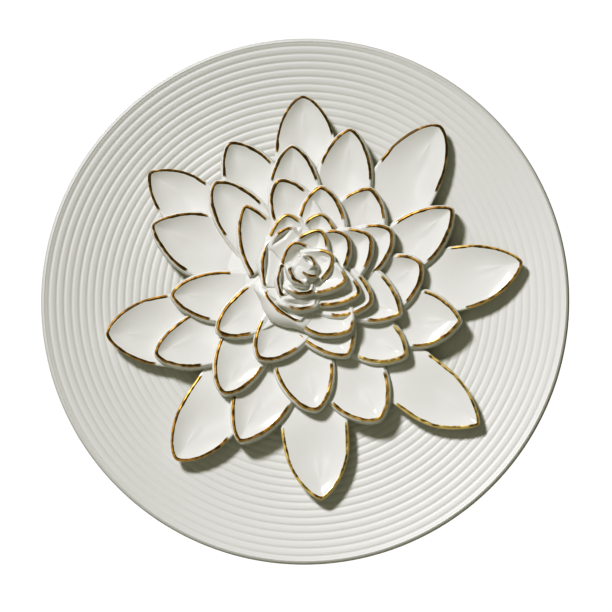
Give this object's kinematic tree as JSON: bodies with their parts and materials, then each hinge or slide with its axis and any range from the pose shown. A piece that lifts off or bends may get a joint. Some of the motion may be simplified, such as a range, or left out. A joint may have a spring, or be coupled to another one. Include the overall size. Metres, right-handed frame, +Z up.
{
  "type": "wall sculpture",
  "caption": "Round wall sculpture: a shallow ring-grooved plate carrying a raised open lotus of curled, cupped petals, with a keyhole hanging slot in its flat foot.",
  "frame": {"origin": "middle of the flat foot on the plate's back, which lies on the wall", "axes": "+Z up as it hangs, -Y out of the wall towards the room, +Y into the wall, +X to the right as seen from the room"},
  "size_m": [0.4, 0.059, 0.4],
  "materials": {
    "satin_ceramic": "satin off-white",
    "gloss_glaze": "gloss white with a painted gold line on the petal rims"
  },
  "bodies": {
    "root": {"ringed_plate": "satin_ceramic", "lotus_flower": "gloss_glaze"}
  },
  "joints": []
}
